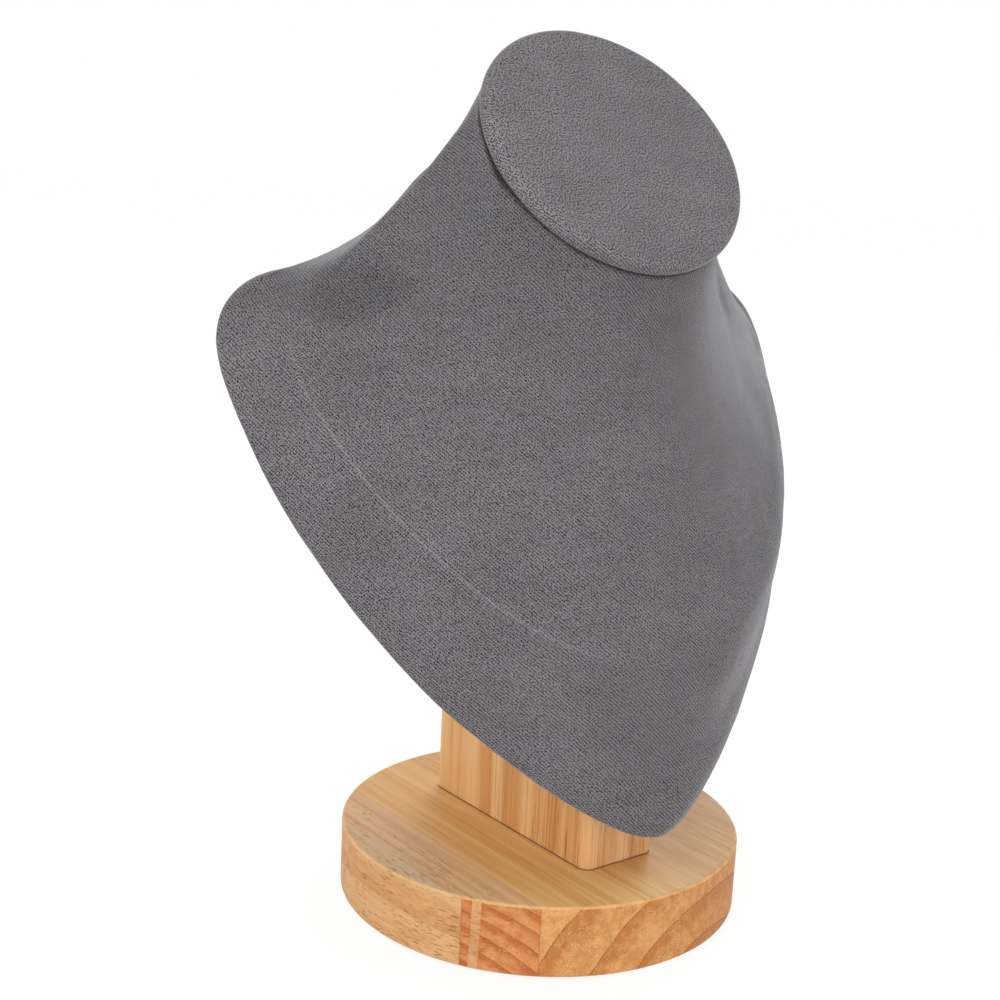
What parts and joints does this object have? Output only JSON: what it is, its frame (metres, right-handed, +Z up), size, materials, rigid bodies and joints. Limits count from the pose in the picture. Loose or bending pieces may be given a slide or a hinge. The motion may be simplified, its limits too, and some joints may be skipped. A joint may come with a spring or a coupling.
{
  "type": "necklace stand",
  "caption": "Neck-and-chest display form covered in grey suede cloth, leaning back on a wooden post over a round wooden base.",
  "frame": {"origin": "middle of the underside of the pad under the round base, on the surface that the stand rests on", "axes": "+Z up; -Y is the front, the way the chest faces; +X is to the right of someone who faces the chest"},
  "size_m": [0.184, 0.112, 0.2359],
  "materials": {
    "suede_cloth": "napped microfibre with a fine diagonal rib",
    "cap_cloth": "napped microfibre",
    "base_wood": "satin-oiled edge-glued rubberwood",
    "post_wood": "satin-oiled rubberwood, grain upright",
    "form_shell": "moulded, matt",
    "fibreboard": "raw fibreboard",
    "felt": "pressed felt",
    "screw_steel": "zinc-plated"
  },
  "bodies": {
    "root": {"base_pad": "felt", "base": "base_wood", "base_screws": "screw_steel", "post": "post_wood", "back_cover": "suede_cloth", "back_board": "fibreboard", "back_screws": "screw_steel", "bust_form": "form_shell", "chest_cover": "suede_cloth", "neck_cap_board": "fibreboard", "neck_cap_cover": "cap_cloth"}
  },
  "joints": []
}
